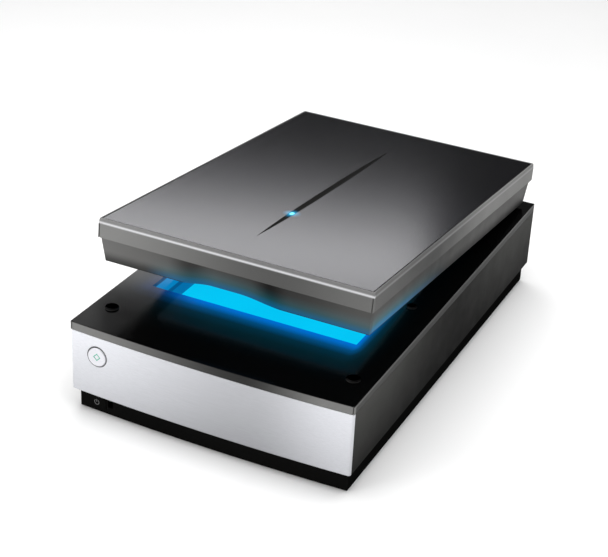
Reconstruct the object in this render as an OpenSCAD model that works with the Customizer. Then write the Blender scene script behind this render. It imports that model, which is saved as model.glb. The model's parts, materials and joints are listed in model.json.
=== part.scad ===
// Flatbed photo scanner with a film-scanning light unit in its lid.
// Origin at the middle of the footprint on the table, X to the right seen from
// the front, Y to the back, Z up. The lid stands slightly open at rest.

/* [Body] */
// Overall width
body_w = 308; // [300:1:320]
// Overall depth
body_d = 503; // [498:1:515]
// Height of the glossy top above the table
base_h = 101; // [98:0.5:108]
// Height of the underside of the outer panels
panel_bottom = 24; // [20:0.5:26]
// Height of the band around the top edge
band_h = 9; // [6:0.5:11]
// Thickness of moulded walls and skins
wall = 2.5; // [2:0.1:3]
// Height of the rubber feet
foot_h = 1; // [1:0.5:3]
// How far the middle of the front bows outward
front_bow = 4.6; // [1:0.1:6]

/* [Glass] */
// Width of the document glass
glass_w = 231; // [226:1:240]
// Length of the document glass
glass_d = 310; // [300:1:316]
// Sideways shift of the glass from the middle
glass_shift = -6.8; // [-12:0.1:-4]
// Distance from the front edge to the glass
glass_setback = 102.5; // [100:0.5:112]

/* [Lid] */
// Width of the lid
lid_w = 295.5; // [288:0.5:300]
// Depth of the lid
lid_d = 461; // [455:1:462]
// Thickness of the lid
lid_t = 47; // [45:0.5:52]
// Width of the shelf in front of the closed lid
shelf = 37.5; // [36:0.5:40]
// Opening angle of the lid at rest
lid_tilt = 5.7; // [0:0.1:30]
// Height of the metal-coloured rim of the lid
rim_h = 20.2; // [18:0.1:24]
// Gap between the case and the closed lid
lid_gap = 4.5; // [3:0.5:6]
// Length of the narrow light slit
slit_l = 329; // [280:1:340]
// Largest width of the light slit
slit_w = 7.4; // [5:0.1:9]

/* [Controls] */
// Diameter of the start button
start_d = 20.4; // [16:0.1:24]
// Height of the start button above the table
start_z = 70; // [60:0.1:74]

/* [Scan drive] */
// Diameter of the carriage guide rod
rod_d = 10; // [8:1:12]
// Length of the carriage along its travel
carriage_l = 96; // [80:1:100]

/* [Hidden] */
$fn = 48;

half_w = body_w / 2;
front_y = -body_d / 2;
rear_y = body_d / 2;
eps = 0.01;
front_t = 3;
front_round = 2.4;
top_t = 3;
top_z = base_h - top_t;
band_z = base_h - band_h;
seam = 0.4;
fit_gap = 0.25;
bow_r = (pow(half_w, 2) + pow(front_bow, 2)) / (2 * front_bow);

// plinth and inner skirt
plinth_side = 5;
plinth_front = 8;
plinth_x = half_w - plinth_side;
plinth_y0 = front_y + plinth_front;
plinth_y1 = rear_y - wall;
plinth_top = 34;
floor_z = foot_h + wall;
skirt_x = half_w - wall;

// document glass
glass_t = 3;
glass_x0 = glass_shift - glass_w / 2;
glass_x1 = glass_shift + glass_w / 2;
glass_y0 = front_y + glass_setback;
glass_y1 = glass_y0 + glass_d;
glass_z = base_h - 0.1 - glass_t;
ledge = 2;
ledge_t = 2.4;
scale_strip_w = 34.5;

// scan carriage and its guide
carriage_x = 116;
carriage_y0 = front_y + 46;
carriage_y1 = carriage_y0 + carriage_l;
carriage_mid_y = (carriage_y0 + carriage_y1) / 2;
carriage_z0 = 42;
carriage_z1 = 88;
carriage_wall = 3;
cover_t = 2;
light_bar_h = 3;
rod_x = -128;
rod_z = 30;
rod_y0 = front_y + 29.5;
rod_y1 = rear_y - 13.5;
bush_d = rod_d + 6;
bush_l = 14;
bush_inset = 16;
running_gap = 0.05;
rail_x = 128;
rail_y1 = 196;
belt_x = -130;
belt_z = 68;
belt_h = 6;
belt_t = 1.4;
pulley_r = 6;
pulley_y = 214;
lock_x = 20;

// printed circuit boards
board_t = 1.6;
board_z = floor_z + 6;

// rear sockets
inlet_x = 112;
inlet_z = 52;
usb_x = 66;
lid_socket_x = -52;
socket_z = 50;

// lid, drawn closed and then tilted
lid_x = lid_w / 2;
lid_y0 = front_y + shelf;
lid_y1 = lid_y0 + lid_d;
lid_z0 = base_h + lid_gap;
lid_z1 = lid_z0 + lid_t;
rim_z = lid_z1 - rim_h;
bevel_h = 5.4;
bevel_in = 0.8;
rim_wall = 3.5;
panel_t = 3;
panel_in = 1.9;
groove = 1.3;
panel_drop = 0.2;
slit_y0 = lid_y0 + 55;
slit_light_y = lid_y0 + 134;
slit_x = -3;
slit_depth = 0.5;
slit_light_d = 4;
tray_top_in = 2.3;
tray_side_in = 4.4;
tray_front_in = 9;
tray_rear_in = 8;
grip_depth = 22;
grip_h = 12;
scoop_left = -60;
scoop_flat_left = -22;
scoop_flat_right = 6;
scoop_right = 54;
scoop_h = 5.2;
scoop_depth = 16;

// lid hinge
hinge_x = 98;
hinge_y = rear_y - 15.5;
hinge_z = base_h + 12;
knuckle_r = 7;
knuckle_w = 14;
pin_d = 6;
post_w = 26;
post_t = 8;
guide_z = 68;
post_z = guide_z + 2 + fit_gap;
ear_t = 4;
ear_gap = 0.5;
pocket_w = 32;
pocket_y = hinge_y - 12;
pocket_z = lid_z0 + 18.5;
pocket_wall = 2.5;
bracket_t = 2.5;

// film-scanning light unit inside the lid
mat_z = base_h + 0.3;
mat_w = 226;
mat_d = 300;
window_w = 196;
window_d = 276;
window_t = 2.5;
film_carriage_y = lid_y0 + 62;
film_carriage_l = 26;
film_carriage_z = lid_z0 + 6.5;
film_rod_x = 110;
film_rod_d = 6;
film_rod_z = lid_z0 + 17;
film_belt_x = 122;
film_belt_z = lid_z0 + 12;
film_pulley_r = 5;
film_pulley_y0 = lid_y0 + 30;
film_pulley_y1 = lid_y1 - 62;

// start and power buttons
start_x = -122.5;
start_y = front_y - bow_at(start_x);
start_hole_d = start_d + 2.4;
power_x0 = -146;
power_x1 = -118;
power_z0 = 5;
power_z1 = 22;

// ---------- shared helpers ----------

// box from ranges along the three axes
module block(xs, ys, zs) {
    translate([xs[0], ys[0], zs[0]])
        cube([xs[1] - xs[0], ys[1] - ys[0], zs[1] - zs[0]]);
}

// cylinder along X between two positions
module bar_x(xs, y, z, d) {
    translate([xs[0], y, z])
        rotate([0, 90, 0])
            cylinder(h = xs[1] - xs[0], d = d);
}

// cylinder along Y between two positions
module bar_y(x, ys, z, d) {
    translate([x, ys[0], z])
        rotate([-90, 0, 0])
            cylinder(h = ys[1] - ys[0], d = d);
}

// how far the bowed front stands out at a given x
function bow_at(x) = front_bow - bow_r + sqrt(pow(bow_r, 2) - pow(x, 2));

// block whose front bows outward from y0, where y0 is its place at the case's corners
module bowed_block(xs, y0, y1, zs) {
    intersection() {
        block(xs, [y0 - front_bow, y1], zs);
        translate([0, y0 - front_bow + bow_r, zs[0] - 1])
            cylinder(h = zs[1] - zs[0] + 2, r = bow_r, $fn = 1440);
    }
}

// upright cylinder between two heights
module bar_z(x, y, zs, d) {
    translate([x, y, zs[0]])
        cylinder(h = zs[1] - zs[0], d = d);
}

// carries the lid from its closed place to its angle at rest
module lid_pose() {
    translate([0, hinge_y, hinge_z])
        rotate([-lid_tilt, 0, 0])
            translate([0, -hinge_y, -hinge_z])
                children();
}

// closed toothless belt loop around two upright pulleys
module belt_loop(x, y0, y1, z, r, h, t) {
    difference() {
        belt_outline(x, y0, y1, z, r + t, h);
        belt_outline(x, y0, y1, z - 1, r, h + 2);
    }
}

module belt_outline(x, y0, y1, z, r, h) {
    bar_z(x, y0, [z, z + h], 2 * r);
    bar_z(x, y1, [z, z + h], 2 * r);
    block([x - r, x + r], [y0, y1], [z, z + h]);
}

// toothed pulley with two flanges on an upright shaft
module pulley(x, y, z, r, h, shaft_z, shaft_d) {
    flange = 1;
    bar_z(x, y, [z - flange - fit_gap, z + h + flange + fit_gap], 2 * (r - 0.3));
    bar_z(x, y, [z - flange - fit_gap, z - fit_gap], 2 * r + 4);
    bar_z(x, y, [z + h + fit_gap, z + h + flange + fit_gap], 2 * r + 4);
    bar_z(x, y, shaft_z, shaft_d);
}

// screw with a round head whose top is at the origin, shank along -Z
module screw(head_d, head_t, shank_d, shank_l) {
    difference() {
        union() {
            translate([0, 0, -head_t])
                cylinder(h = head_t, d = head_d);
            translate([0, 0, -head_t - shank_l])
                cylinder(h = shank_l + eps, d = shank_d);
        }
        for (turn = [0, 90])
            rotate([0, 0, turn])
                translate([-head_d * 0.3, -0.4, -head_t * 0.5])
                    cube([head_d * 0.6, 0.8, head_t]);
    }
}

// ---------- case ----------

standoff_spots = [[-70, -200], [60, -200], [-70, -110], [60, -110]];
power_spots = [[24, 120], [108, 120], [24, 205], [108, 205]];
foot_spots = [[-125, -222], [125, -222], [-125, 228], [125, 228]];
rear_screw_spots = [[-140, 84], [140, 84], [-140, 40], [140, 40]];
// place and diameter of each rubber pad on the case
bumper_spots = [
    [-133, front_y + 42.5, 14], [133, front_y + 42.5, 14],
    [-133, front_y + 200, 11], [126, front_y + 200, 11],
];
bumper_h = 2.2;

module lower_case() {
    color([0.09, 0.09, 0.09])
    difference() {
        union() {
            difference() {
                union() {
                    block([-plinth_x, plinth_x], [plinth_y0, plinth_y1], [foot_h, plinth_top]);
                    bowed_block([-plinth_x, plinth_x], plinth_y0, plinth_y1 - 1, [foot_h, panel_bottom]);
                }
                block([-plinth_x + wall, plinth_x - wall], [plinth_y0 + wall, plinth_y1 - wall],
                      [floor_z, plinth_top + 1]);
                bowed_block([-plinth_x + wall, plinth_x - wall], plinth_y0 + wall, plinth_y1 - wall - 1,
                            [floor_z, panel_bottom - wall]);
            }
            for (spot = concat(standoff_spots, power_spots))
                bar_z(spot[0], spot[1], [floor_z - eps, board_z], 7);
        }
        block([power_x0 - fit_gap, power_x1 + fit_gap], [plinth_y0 - front_bow, plinth_y0 + wall + 1],
              [power_z0 - fit_gap, power_z1 + fit_gap]);
        block([power_x1 + 2, power_x1 + 8], [plinth_y0 - front_bow, plinth_y0 + wall + 1], [9, 18]);
    }
}

module feet() {
    color([0.05, 0.05, 0.05])
    for (spot = foot_spots)
        bar_z(spot[0], spot[1], [0, foot_h], 14);
}

module top_frame() {
    color([0.04, 0.04, 0.045])
    difference() {
        union() {
            bowed_block([-half_w, half_w], front_y, rear_y, [band_z, base_h]);
            block([-skirt_x, skirt_x], [front_y + front_t, plinth_y1], [panel_bottom, band_z + 1]);
        }
        difference() {
            block([-plinth_x, plinth_x], [plinth_y0, plinth_y1 + eps], [panel_bottom - 1, top_z]);
            glass_ledge();
        }
        block([glass_x0, glass_x1], [glass_y0, glass_y1], [glass_z, base_h + 1]);
        block([glass_x0 + ledge, glass_x1 - ledge], [glass_y0 + ledge, glass_y1 - ledge],
              [glass_z - ledge_t - 1, base_h + 1]);
        for (side = [-1, 1])
            block([side * hinge_x - post_w / 2 - fit_gap, side * hinge_x + post_w / 2 + fit_gap],
                  [hinge_y - post_t / 2 - fit_gap, hinge_y + post_t / 2 + fit_gap],
                  [top_z - 1, base_h + 1]);
        bar_y(start_x, [front_y, front_y + 12], start_z, start_hole_d);
        for (side = [-1, 1])
            joint_line(side * (half_w - 1.2), front_y, [band_z - 1, base_h + 1]);
    }
}

// narrow upright groove in a front face
module joint_line(x, y, zs) {
    block([x - 0.5, x + 0.5], [y - 1, y + 1.6], zs);
}

// lip under the edge of the glass
module glass_ledge() {
    block([glass_x0 - 4, glass_x1 + 4], [glass_y0 - 4, glass_y1 + 4], [glass_z - ledge_t, top_z + 1]);
}

module side_panel(side) {
    color([0.2, 0.2, 0.19])
    if (side > 0)
        block([skirt_x, half_w], [front_y + front_t + seam, rear_y], [panel_bottom, band_z - seam]);
    else
        block([-half_w, -skirt_x], [front_y + front_t + seam, rear_y], [panel_bottom, band_z - seam]);
}

module side_panel_left() {
    side_panel(-1);
}

module side_panel_right() {
    side_panel(1);
}

// bowed cover plate with rounded upright edges; its flat ends rest on the case's skirt
module front_panel() {
    zs = [panel_bottom, band_z - seam];
    corner_x = half_w - front_round;
    corner_y = front_y + front_round - bow_at(corner_x);
    land_x = half_w - 14;
    color([0.85, 0.86, 0.88])
    difference() {
        union() {
            bowed_block([-corner_x, corner_x], front_y, front_y + front_t, zs);
            block([-half_w, half_w], [corner_y, front_y + front_t], zs);
            for (side = [-1, 1])
                bar_z(side * corner_x, corner_y, zs, 2 * front_round);
        }
        block([-half_w - 1, half_w + 1], [front_y + front_t, front_y + 2 * front_round + 1],
              [panel_bottom - 1, band_z]);
        bowed_block([-land_x, land_x], front_y + front_t, front_y + front_t + 1, [panel_bottom - 1, band_z]);
        bar_y(start_x, [front_y - front_bow, front_y + front_t + 1], start_z, start_hole_d);
    }
}

module rear_panel() {
    vent_n = 9;
    vent_pitch = 7;
    color([0.1, 0.1, 0.1])
    difference() {
        block([-skirt_x, skirt_x], [plinth_y1, rear_y], [panel_bottom, band_z - seam]);
        block([inlet_x - 14.5, inlet_x + 14.5], [plinth_y1 - 1, rear_y + 1], [inlet_z - 13, inlet_z + 13]);
        block([usb_x - 8, usb_x + 8], [plinth_y1 - 1, rear_y + 1], [socket_z - 8, socket_z + 8]);
        block([lid_socket_x - 16, lid_socket_x + 16], [plinth_y1 - 1, rear_y + 1],
              [socket_z - 8, socket_z + 8]);
        block([lock_x - 16, lock_x + 16], [plinth_y1 - 1, rear_y + 1], [socket_z - 4, socket_z + 4]);
        for (i = [0 : vent_n - 1])
            block([vent_pitch * (i - vent_n) + 62, vent_pitch * (i - vent_n) + 65],
                  [plinth_y1 - 1, rear_y + 1], [70, 86]);
        for (spot = rear_screw_spots)
            bar_y(spot[0], [plinth_y1 - 1, rear_y + 1], spot[1], 3);
    }
}

// four screws that hold the rear panel
module case_screws() {
    color([0.12, 0.12, 0.12])
    for (spot = rear_screw_spots)
        translate([spot[0], rear_y + 1.6, spot[1]])
            rotate([-90, 0, 0])
                screw(6, 1.6, 3, wall);
}

module bumpers() {
    color([0.12, 0.12, 0.12])
    for (spot = bumper_spots) {
        bar_z(spot[0], spot[1], [base_h, base_h + bumper_h - 0.6], spot[2]);
        bar_z(spot[0], spot[1], [base_h, base_h + bumper_h], spot[2] - 2);
    }
}

// ---------- document glass ----------

module document_glass() {
    color([0.2, 0.6, 0.75, 0.5])
    block([glass_x0 + 0.1, glass_x1 - 0.1], [glass_y0 + 0.1, glass_y1 - 0.1], [glass_z, glass_z + glass_t]);
}

// printed strip with bars and gaps under the left edge of the glass
module scale_strip() {
    bars = [[0.6, 5.2], [18.4, 20.2], [21.2, scale_strip_w]];
    x0 = glass_x0 + ledge;
    color([0.05, 0.2, 0.35])
    for (ys = [[glass_y0 + ledge, glass_y0 + ledge + 3], [glass_y1 - ledge - 3, glass_y1 - ledge]])
        block([x0, x0 + scale_strip_w], ys, [glass_z - 0.4, glass_z]);
    for (bar = bars)
        block([x0 + bar[0], x0 + bar[1]], [glass_y0 + ledge, glass_y1 - ledge], [glass_z - 0.4, glass_z]);
}

module white_reference() {
    color([0.95, 0.95, 0.93])
    block([glass_x0 + 6, glass_x1 - 6], [glass_y0 - 17, glass_y0 - 5], [top_z - 1.2, top_z]);
}

// ---------- buttons ----------

module button_ring() {
    color([0.25, 0.25, 0.25])
    difference() {
        bar_y(start_x, [start_y - 0.4, front_y + front_t + 5], start_z, start_hole_d);
        bar_y(start_x, [start_y - 1, front_y + front_t + 6], start_z, start_d + 2 * fit_gap);
    }
}

module start_button() {
    dome_r = 60;
    color([0.88, 0.88, 0.9])
    difference() {
        intersection() {
            bar_y(start_x, [start_y - 1.6, front_y + front_t + 6], start_z, start_d);
            translate([start_x, start_y - 1.6 + dome_r, start_z])
                sphere(r = dome_r);
        }
        bar_y(start_x, [start_y - 2, start_y - 1.1], start_z, 6.4);
    }
}

// small coloured disc set in the middle of the button
module start_mark() {
    color([0.3, 0.75, 0.6])
    bar_y(start_x, [start_y - 1.5, start_y - 1.1], start_z, 6.4);
}

module power_button() {
    mid_x = (power_x0 + power_x1) / 2;
    half = (power_x1 - power_x0) / 2 - 0.3;
    color([0.12, 0.12, 0.12])
    union() {
        translate([mid_x, plinth_y0 - bow_at(mid_x), 0])
            rotate([0, 0, asin(mid_x / bow_r)])
                block([-half, half], [-0.5, wall + 3], [power_z0, power_z1]);
        block([power_x0 + 10, power_x1 - 10], [plinth_y0 + wall + 1, plinth_y0 + 9],
              [power_z0 + 5, power_z1 - 6]);
    }
}

// small boards with the switches behind the two buttons
module button_switches() {
    mid_x = (power_x0 + power_x1) / 2;
    color([0.1, 0.35, 0.2]) {
        union() {
            block([start_x - 15, start_x + 15], [front_y + 15.4, front_y + 17], [start_z - 15, start_z + 12]);
            block([start_x - 3, start_x + 3], [front_y + 11.2, front_y + 15.4 + eps],
                  [start_z - 3, start_z + 3]);
            block([start_x - 15, start_x + 15], [plinth_y0, front_y + 17],
                  [start_z - 18, start_z - 15 + eps]);
        }
        union() {
            block([mid_x - 12, mid_x + 12], [plinth_y0 + 14.4, plinth_y0 + 16], [floor_z, 26]);
            block([mid_x - 3, mid_x + 3], [plinth_y0 + 11.2, plinth_y0 + 14.4 + eps], [10, 16]);
        }
    }
}

// ---------- scan drive in the base ----------

module guide_rod() {
    color([0.75, 0.76, 0.78])
    bar_y(rod_x, [rod_y0, rod_y1], rod_z, rod_d);
}

module rod_clips() {
    clip_l = 8;
    color([0.1, 0.1, 0.1])
    for (y = [rod_y0, rod_y1 - clip_l])
        difference() {
            block([rod_x - 9, rod_x + 9], [y, y + clip_l], [floor_z, rod_z + 8]);
            bar_y(rod_x, [y - 1, y + clip_l + 1], rod_z, rod_d);
        }
}

module side_rail() {
    top = carriage_z0 + 1.8;
    color([0.12, 0.12, 0.12])
    union() {
        block([rail_x - 1.5, rail_x + 1.5], [rod_y0, rail_y1], [floor_z, top - 2 + eps]);
        block([rail_x - 7, rail_x + 7], [rod_y0, rail_y1], [top - 2, top]);
    }
}

module carriage_housing() {
    ear_x0 = rod_x - 10;
    bore = bush_d;
    color([0.07, 0.07, 0.07])
    difference() {
        union() {
            block([-carriage_x, carriage_x], [carriage_y0, carriage_y1], [carriage_z0, carriage_z1]);
            block([ear_x0, -carriage_x + 8], [carriage_y0 + 4, carriage_y1 - 4],
                  [rod_z - 8 - 3, carriage_z0 + 3]);
            block([carriage_x - eps, rail_x + 7], [carriage_mid_y - 24, carriage_mid_y + 24],
                  [carriage_z0 + 6, carriage_z0 + 9]);
            belt_clamp();
        }
        block([-carriage_x + carriage_wall, carriage_x - carriage_wall],
              [carriage_y0 + carriage_wall, carriage_y1 - carriage_wall],
              [carriage_z0 + carriage_wall, carriage_z1 + 1]);
        bar_y(rod_x, [carriage_y0, carriage_y1], rod_z, rod_d + 2);
        for (ys = bush_spans())
            bar_y(rod_x, ys, rod_z, bore);
        block([belt_x + pulley_r - fit_gap, belt_x + pulley_r + belt_t + fit_gap],
              [carriage_y0, carriage_y1], [belt_z - fit_gap, belt_z + belt_h + fit_gap]);
    }
}

// jaw that reaches out to the inner run of the belt
module belt_clamp() {
    block([belt_x + pulley_r - 2.5, -carriage_x + eps], [carriage_mid_y - 12, carriage_mid_y + 12],
          [belt_z - 3, belt_z + belt_h + 3]);
}

// where the two bushes sit along the travel
function bush_spans() = [
    [carriage_y0 + 4, carriage_y0 + 4 + bush_l],
    [carriage_y1 - 4 - bush_l, carriage_y1 - 4]
];

module carriage_bushes() {
    color([0.72, 0.55, 0.3])
    for (ys = bush_spans())
        difference() {
            bar_y(rod_x, ys, rod_z, bush_d);
            bar_y(rod_x, [ys[0] - 1, ys[1] + 1], rod_z, rod_d + 2 * running_gap);
        }
}

module carriage_slider() {
    rail_top = carriage_z0 + 1.8;
    color([0.9, 0.9, 0.88])
    block([rail_x - 5, rail_x + 5], [carriage_mid_y - 16, carriage_mid_y + 16],
          [rail_top + fit_gap, carriage_z0 + 6]);
}

module carriage_cover() {
    color([0.06, 0.06, 0.06])
    difference() {
        block([-carriage_x, carriage_x], [carriage_y0, carriage_y1], [carriage_z1, carriage_z1 + cover_t]);
        block([-carriage_x + 8, carriage_x - 8], [carriage_mid_y - 3, carriage_mid_y + 3],
              [carriage_z1 - 1, carriage_z1 + cover_t + 1]);
    }
}

module light_bars() {
    color([0.9, 0.97, 1])
    for (side = [-1, 1])
        block([-carriage_x + 6, carriage_x - 6],
              [carriage_mid_y + side * 9 - 4, carriage_mid_y + side * 9 + 4],
              [carriage_z1 + cover_t, carriage_z1 + cover_t + light_bar_h]);
}

// three mirrors that fold the light path inside the carriage
module mirrors() {
    mirror_l = 2 * (carriage_x - carriage_wall);
    spots = [[0, 53, 45], [-36, 58, -12], [-16, 78, 80]];
    color([0.8, 0.85, 0.9])
    for (spot = spots)
        translate([-mirror_l / 2, carriage_mid_y + spot[0], spot[1]])
            rotate([spot[2], 0, 0])
                translate([0, -1.5, -7])
                    cube([mirror_l, 3, 14]);
}

module lens(x, d, l) {
    floor_in = carriage_z0 + carriage_wall;
    y = carriage_mid_y + 16;
    axis_z = floor_in + d / 2 + 2;
    difference() {
        union() {
            bar_y(x, [y, y + l], axis_z, d);
            bar_y(x, [y - 2, y + 3], axis_z, d + 3);
            block([x - d / 2, x + d / 2], [y + 4, y + l - 2], [floor_in, axis_z]);
        }
        translate([x, y - 2 - d * 0.6, axis_z])
            sphere(d = d * 1.5);
    }
}

module lens_wide() {
    color([0.1, 0.1, 0.14])
    lens(-22, 18, 20);
}

module lens_fine() {
    color([0.1, 0.1, 0.14])
    lens(22, 15, 20);
}

module sensor_board() {
    floor_in = carriage_z0 + carriage_wall;
    y = carriage_y1 - carriage_wall;
    color([0.1, 0.35, 0.2])
    union() {
        block([-60, 60], [y - board_t, y], [floor_in, floor_in + 26]);
        block([-32, 32], [y - board_t - 3, y - board_t + eps], [floor_in + 6, floor_in + 15]);
    }
}

module drive_belt() {
    color([0.08, 0.08, 0.08])
    belt_loop(belt_x, -pulley_y, pulley_y, belt_z, pulley_r, belt_h, belt_t);
}

module drive_pulley() {
    color([0.75, 0.75, 0.77])
    pulley(belt_x, pulley_y, belt_z, pulley_r, belt_h, [belt_z - 7, belt_z + belt_h + 3], 4);
}

motor_top = belt_z - 5;

module drive_motor() {
    color([0.55, 0.56, 0.58])
    difference() {
        union() {
            bar_z(belt_x, pulley_y, [40, motor_top - 1.5], 35);
            bar_z(belt_x, pulley_y, [40, motor_top], 14);
        }
        bar_z(belt_x, pulley_y, [motor_top - 4, motor_top + 1], 4 + 2 * fit_gap);
    }
}

// folded steel plate on two legs that carries the motor
module motor_bracket() {
    color([0.65, 0.66, 0.68])
    union() {
        difference() {
            block([belt_x - 18.5, belt_x + 20], [pulley_y - 18.5, pulley_y + 14],
                  [motor_top - 1.5, motor_top]);
            bar_z(belt_x, pulley_y, [motor_top - 2, motor_top + 1], 14);
        }
        block([belt_x + 18.5, belt_x + 20], [pulley_y - 18.5, pulley_y + 10], [floor_z, motor_top]);
    }
}

module idler_pulley() {
    color([0.85, 0.85, 0.82])
    difference() {
        pulley(belt_x, -pulley_y, belt_z, pulley_r, belt_h, [belt_z - 1, belt_z + belt_h + 1], 6);
        bar_z(belt_x, -pulley_y, [belt_z - 3, belt_z + belt_h + 3], 4 + 2 * running_gap);
    }
}

// plate with the idler's pin, on a leg from the floor
module idler_bracket() {
    color([0.65, 0.66, 0.68])
    union() {
        block([belt_x - 12, belt_x + 12], [rod_y0 - 1.5, -pulley_y + 9], [belt_z - 4.5, belt_z - 3]);
        block([belt_x - 12, belt_x + 12], [rod_y0 - 1.5, rod_y0], [floor_z, belt_z - 3]);
        bar_z(belt_x, -pulley_y, [belt_z - 3 - eps, belt_z + belt_h + 2.5], 4);
    }
}

// ---------- boards and sockets ----------

module main_board() {
    chips = [[-30, -160, 22], [15, -150, 16], [40, -180, 12], [-55, -130, 12]];
    color([0.08, 0.32, 0.18])
    union() {
        block([-78, 68], [-208, -102], [board_z, board_z + board_t]);
        for (chip = chips)
            block([chip[0] - chip[2] / 2, chip[0] + chip[2] / 2],
                  [chip[1] - chip[2] / 2, chip[1] + chip[2] / 2],
                  [board_z + board_t - eps, board_z + board_t + 2]);
    }
}

module power_supply() {
    cans = [[50, 140, 14, 24], [70, 140, 14, 24], [52, 190, 10, 18]];
    color([0.3, 0.2, 0.1])
    union() {
        block([16, 116], [112, 213], [board_z, board_z + board_t]);
        block([80, 110], [135, 165], [board_z + board_t - eps, board_z + 25]);
        for (can = cans)
            bar_z(can[0], can[1], [board_z + board_t - eps, board_z + can[3]], can[2]);
    }
}

// mains inlet: shell with an open mouth and three flat pins
module power_inlet() {
    depth = 22;
    color([0.06, 0.06, 0.06])
    union() {
        difference() {
            block([inlet_x - 14, inlet_x + 14], [rear_y - depth, rear_y], [inlet_z - 12, inlet_z + 12]);
            block([inlet_x - 12, inlet_x + 12], [rear_y - depth + 3, rear_y + 1],
                  [inlet_z - 8.5, inlet_z + 8.5]);
        }
        for (pin = [[-7, -2], [0, 2], [7, -2]])
            block([inlet_x + pin[0] - 1, inlet_x + pin[0] + 1], [rear_y - depth + 3 - eps, rear_y - 6],
                  [inlet_z + pin[1] - 2, inlet_z + pin[1] + 2]);
        difference() {
            block([inlet_x - 17, inlet_x + 17], [plinth_y1 - 1.5, plinth_y1], [plinth_top, inlet_z + 14]);
            block([inlet_x - 13.9, inlet_x + 13.9], [plinth_y1 - 2, plinth_y1 + 1],
                  [inlet_z - 11.9, inlet_z + 11.9]);
        }
    }
}

module socket(x, half, depth) {
    tongue = 2;
    mouth = 6;
    union() {
        difference() {
            block([x - half, x + half], [rear_y - depth, rear_y - 0.5], [socket_z - 6, socket_z + 6]);
            block([x - half + 1, x + half - 1], [rear_y - depth + 2, rear_y + 1],
                  [socket_z - 5, socket_z + 5]);
        }
        block([x - half + 3, x + half - 3], [rear_y - depth + 2 - eps, rear_y - mouth],
              [socket_z - tongue, socket_z + tongue]);
        difference() {
            block([x - half - 4, x + half + 4], [plinth_y1 - 1.5, plinth_y1], [socket_z - 10, socket_z + 10]);
            block([x - half + 0.1, x + half - 0.1], [plinth_y1 - 2, plinth_y1 + 1],
                  [socket_z - 5.9, socket_z + 5.9]);
        }
    }
}

module usb_socket() {
    color([0.75, 0.76, 0.78])
    socket(usb_x, 6.5, 18);
}

module lid_socket() {
    color([0.1, 0.1, 0.1])
    socket(lid_socket_x, 14, 16);
}

// sliding switch that locks the scan carriage for transport
module transport_lock() {
    color([0.45, 0.45, 0.46])
    union() {
        block([lock_x - 11, lock_x - 1], [plinth_y1 - 1, rear_y - 0.3], [socket_z - 3, socket_z + 3]);
        block([lock_x - 22, lock_x + 10], [plinth_y1 - 3, plinth_y1 - fit_gap],
              [socket_z - 7, socket_z + 7]);
    }
}

// ---------- lid hinge ----------

// tubes under the top frame in which the posts can rise
module hinge_guides() {
    inner_x = post_w / 2 + fit_gap;
    inner_y = post_t / 2 + fit_gap;
    color([0.1, 0.1, 0.1])
    for (side = [-1, 1])
        translate([side * hinge_x, hinge_y, 0])
            difference() {
                block([-inner_x - wall, inner_x + wall], [-inner_y - wall, inner_y + wall], [guide_z, top_z]);
                block([-inner_x, inner_x], [-inner_y, inner_y], [guide_z + 2, top_z + 1]);
            }
}

module hinge_posts() {
    color([0.3, 0.3, 0.31])
    for (side = [-1, 1])
        translate([side * hinge_x, hinge_y, 0])
            difference() {
                union() {
                    block([-post_w / 2, post_w / 2], [-post_t / 2, post_t / 2], [post_z, base_h]);
                    block([-knuckle_w / 2, knuckle_w / 2], [-post_t / 2, post_t / 2],
                          [base_h - eps, hinge_z]);
                    bar_x([-knuckle_w / 2, knuckle_w / 2], 0, hinge_z, 2 * knuckle_r);
                }
                bar_x([-knuckle_w, knuckle_w], 0, hinge_z, pin_d);
            }
}

module hinge_pins() {
    pin_half = knuckle_w / 2 + ear_gap + ear_t + 1;
    color([0.75, 0.75, 0.77])
    for (side = [-1, 1])
        bar_x([side * hinge_x - pin_half, side * hinge_x + pin_half], hinge_y, hinge_z, pin_d);
}

// plates under the pocket roof with two ears each around the pin
module hinge_brackets() {
    ear_x = knuckle_w / 2 + ear_gap;
    plate_z = pocket_z - bracket_t;
    color([0.6, 0.6, 0.62])
    lid_pose()
        for (side = [-1, 1])
            translate([side * hinge_x, hinge_y, 0])
                difference() {
                    union() {
                        block([-pocket_w / 2 + 0.5, pocket_w / 2 - 0.5], [-11, 5], [plate_z, pocket_z]);
                        for (x0 = [-ear_x - ear_t, ear_x]) {
                            block([x0, x0 + ear_t], [-6, 5], [hinge_z, plate_z + eps]);
                            bar_x([x0, x0 + ear_t], 0, hinge_z, 2 * knuckle_r - 1);
                        }
                    }
                    bar_x([-pocket_w, pocket_w], 0, hinge_z, pin_d + 2 * running_gap);
                }
}

// ---------- lid shell ----------

// flat outline in X and Z, carried along Y
module profile_along_y(points, ys) {
    translate([0, ys[1], 0])
        rotate([90, 0, 0])
            linear_extrude(ys[1] - ys[0])
                polygon(points);
}

// flat outline in Y and Z, carried along X
module profile_along_x(points, xs) {
    translate([xs[0], 0, 0])
        rotate([90, 0, 90])
            linear_extrude(xs[1] - xs[0])
                polygon(points);
}

// box whose sides lean evenly from a bottom size to a top size
module leaning_box(bottom_xs, top_xs, bottom_ys, top_ys, zs) {
    far = 400;
    intersection() {
        profile_along_y([[bottom_xs[0], zs[0]], [bottom_xs[1], zs[0]],
                         [top_xs[1], zs[1]], [top_xs[0], zs[1]]],
                        [-far, far]);
        profile_along_x([[bottom_ys[0], zs[0]], [bottom_ys[1], zs[0]],
                         [top_ys[1], zs[1]], [top_ys[0], zs[1]]],
                        [-far, far]);
    }
}

// share of the slit's width at a place from -1 to 1 along it
function slit_share(t) = 1 - pow(abs(t), 2.6);

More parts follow.
